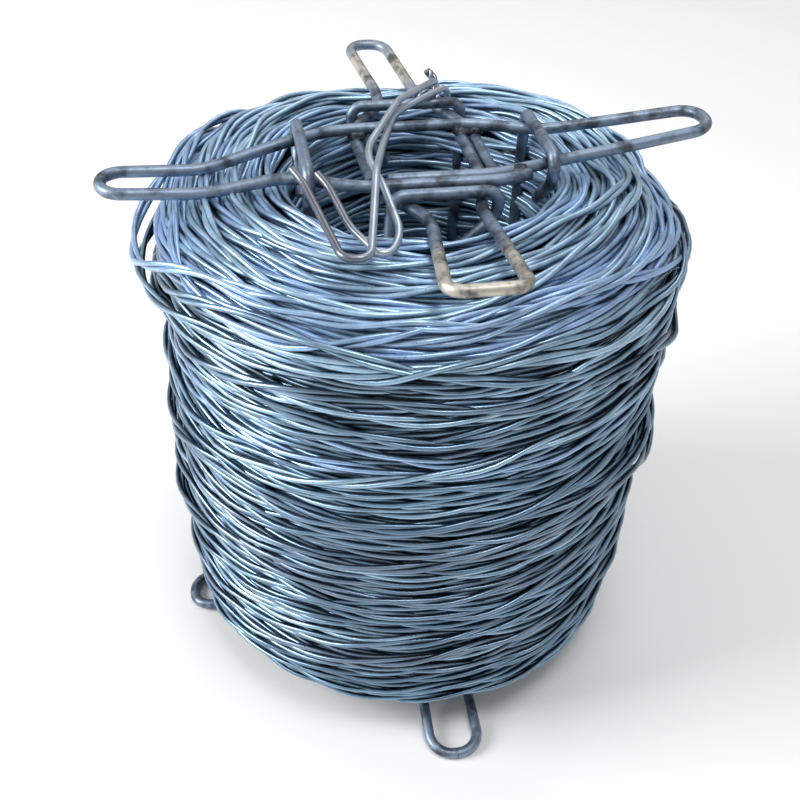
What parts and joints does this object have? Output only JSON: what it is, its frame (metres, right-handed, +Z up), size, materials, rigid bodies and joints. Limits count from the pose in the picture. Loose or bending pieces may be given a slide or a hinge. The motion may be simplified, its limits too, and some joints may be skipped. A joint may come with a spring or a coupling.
{
  "type": "roll of barbless wire",
  "caption": "Roll of twisted barbless fence wire wound on a carrier of bent steel rod, with looped ears at both ends and the free wire end hooked over the top.",
  "frame": {"origin": "on the roll's axis at floor level, under the middle of the bottom loops", "axes": "+Z up along the roll's axis, X along the long loops, Y along the cross loops"},
  "size_m": [0.211, 0.2015, 0.2176],
  "materials": {
    "galvanised_wire": "dull galvanised",
    "carrier_rod": "scuffed dark steel",
    "tail_wire": "bright galvanised"
  },
  "bodies": {
    "root": {"wire_roll": "galvanised_wire", "top_long_loop": "carrier_rod", "top_cross_loop": "carrier_rod", "bottom_long_loop": "carrier_rod", "bottom_cross_loop": "carrier_rod", "right_leg": "carrier_rod", "left_leg": "carrier_rod", "back_leg": "carrier_rod", "front_leg": "carrier_rod", "tail_strand_outer": "tail_wire", "tail_strand_inner": "tail_wire"}
  },
  "joints": []
}
